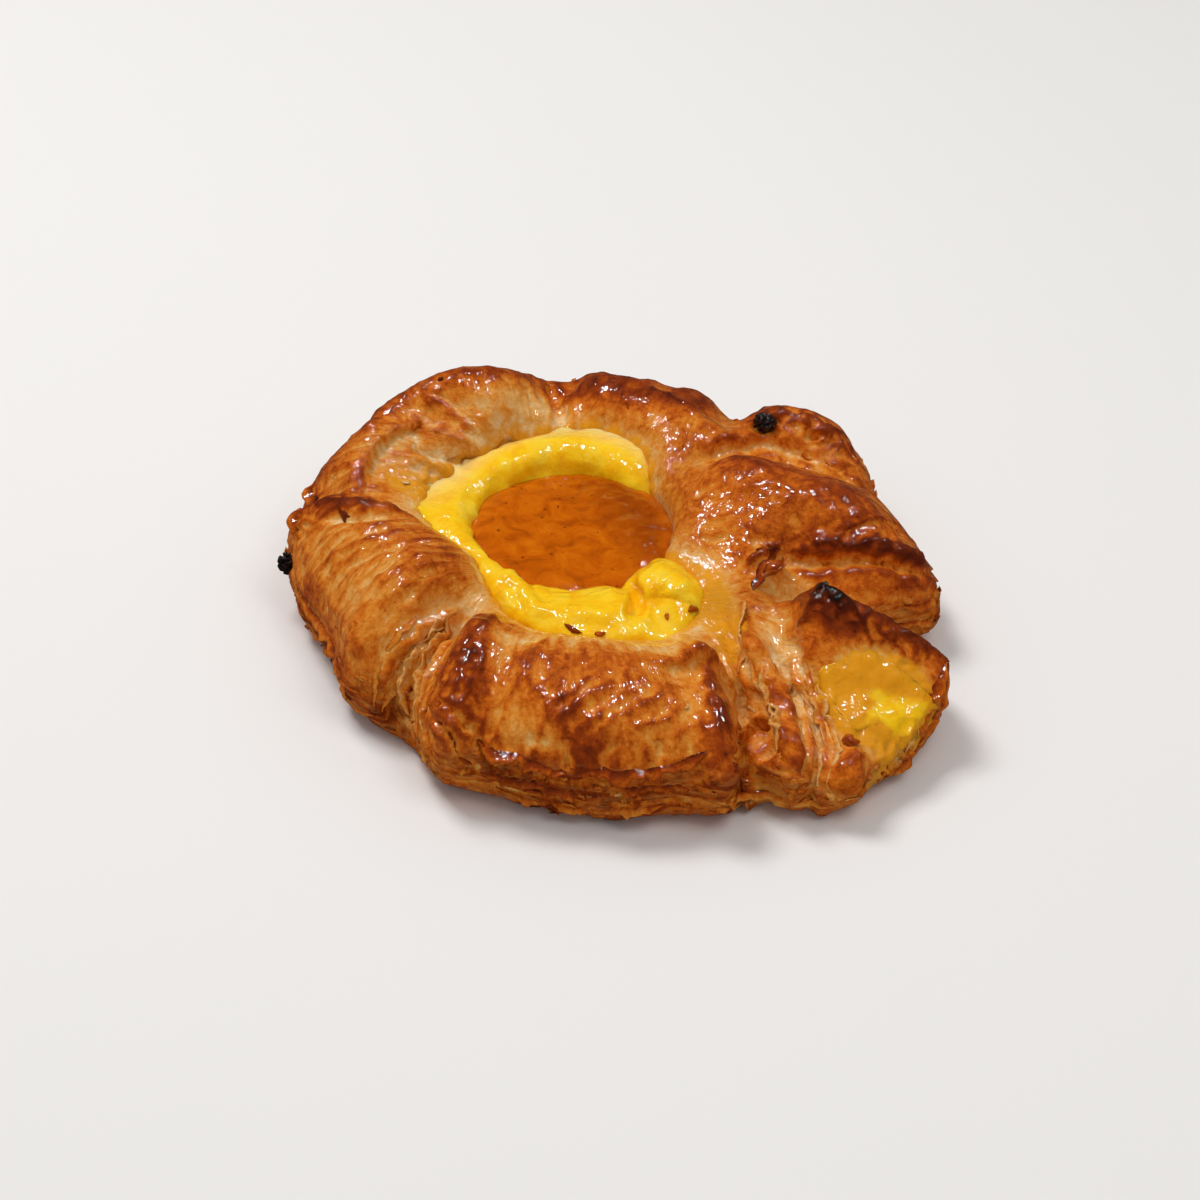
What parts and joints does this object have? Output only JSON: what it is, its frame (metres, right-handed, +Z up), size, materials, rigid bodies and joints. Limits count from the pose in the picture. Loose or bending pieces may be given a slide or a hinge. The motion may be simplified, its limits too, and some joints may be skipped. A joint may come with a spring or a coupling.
{
  "type": "danish pastry",
  "caption": "Folded danish pastry of glazed laminated dough, gathered in puffed lobes round a well of yellow custard topped with apricot jam.",
  "frame": {"origin": "middle of the bounding box seen from above, on the surface that the pastry rests on", "axes": "+Z up; -Y towards the front lobe, with the burnt corner flap at +X and -Y; the raised back left lobe at -X and +Y"},
  "size_m": [0.13, 0.123, 0.0331],
  "materials": {
    "dough": "baked laminated dough under a sugar glaze; stands in for food",
    "custard": "smooth baked custard; stands in for food",
    "jam": "wet, see-through apricot jam; stands in for food",
    "raisin": "burnt, wrinkled raisin; stands in for food"
  },
  "bodies": {
    "root": {"dough": "dough", "custard": "custard", "custard_corner": "custard", "jam": "jam", "raisin_back": "raisin", "raisin_left": "raisin"}
  },
  "joints": []
}
